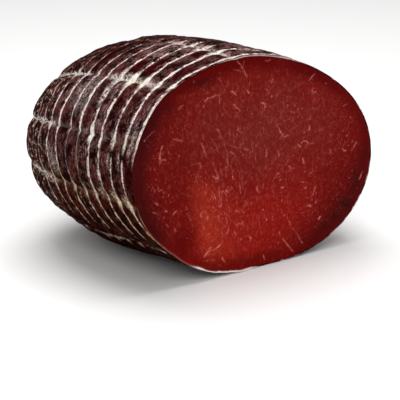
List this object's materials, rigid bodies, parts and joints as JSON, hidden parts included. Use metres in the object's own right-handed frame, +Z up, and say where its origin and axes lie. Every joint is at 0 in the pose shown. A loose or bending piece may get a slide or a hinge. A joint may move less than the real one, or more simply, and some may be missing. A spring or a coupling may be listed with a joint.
{
  "type": "half bresaola",
  "caption": "Cut half of a dry-cured beef bresaola lying on its side: an oval loaf with a flat wine-red cut face, a domed far end and a dark skin marked by its net.",
  "frame": {"origin": "centre of the bounding box, on the surface that the half loaf rests on", "axes": "+X to the right along the longest extent, as seen facing the cut face; +Y from the cut face to the domed far end; +Z up"},
  "size_m": [0.1652, 0.1286, 0.1168],
  "materials": {
    "cured_meat": "dry-cured beef: dark, dusty, purplish-brown skin with pale bloom in its net marks, and a satin wine-red cut face with fine pale marbling"
  },
  "bodies": {
    "root": {"bresaola": "cured_meat"}
  },
  "joints": []
}
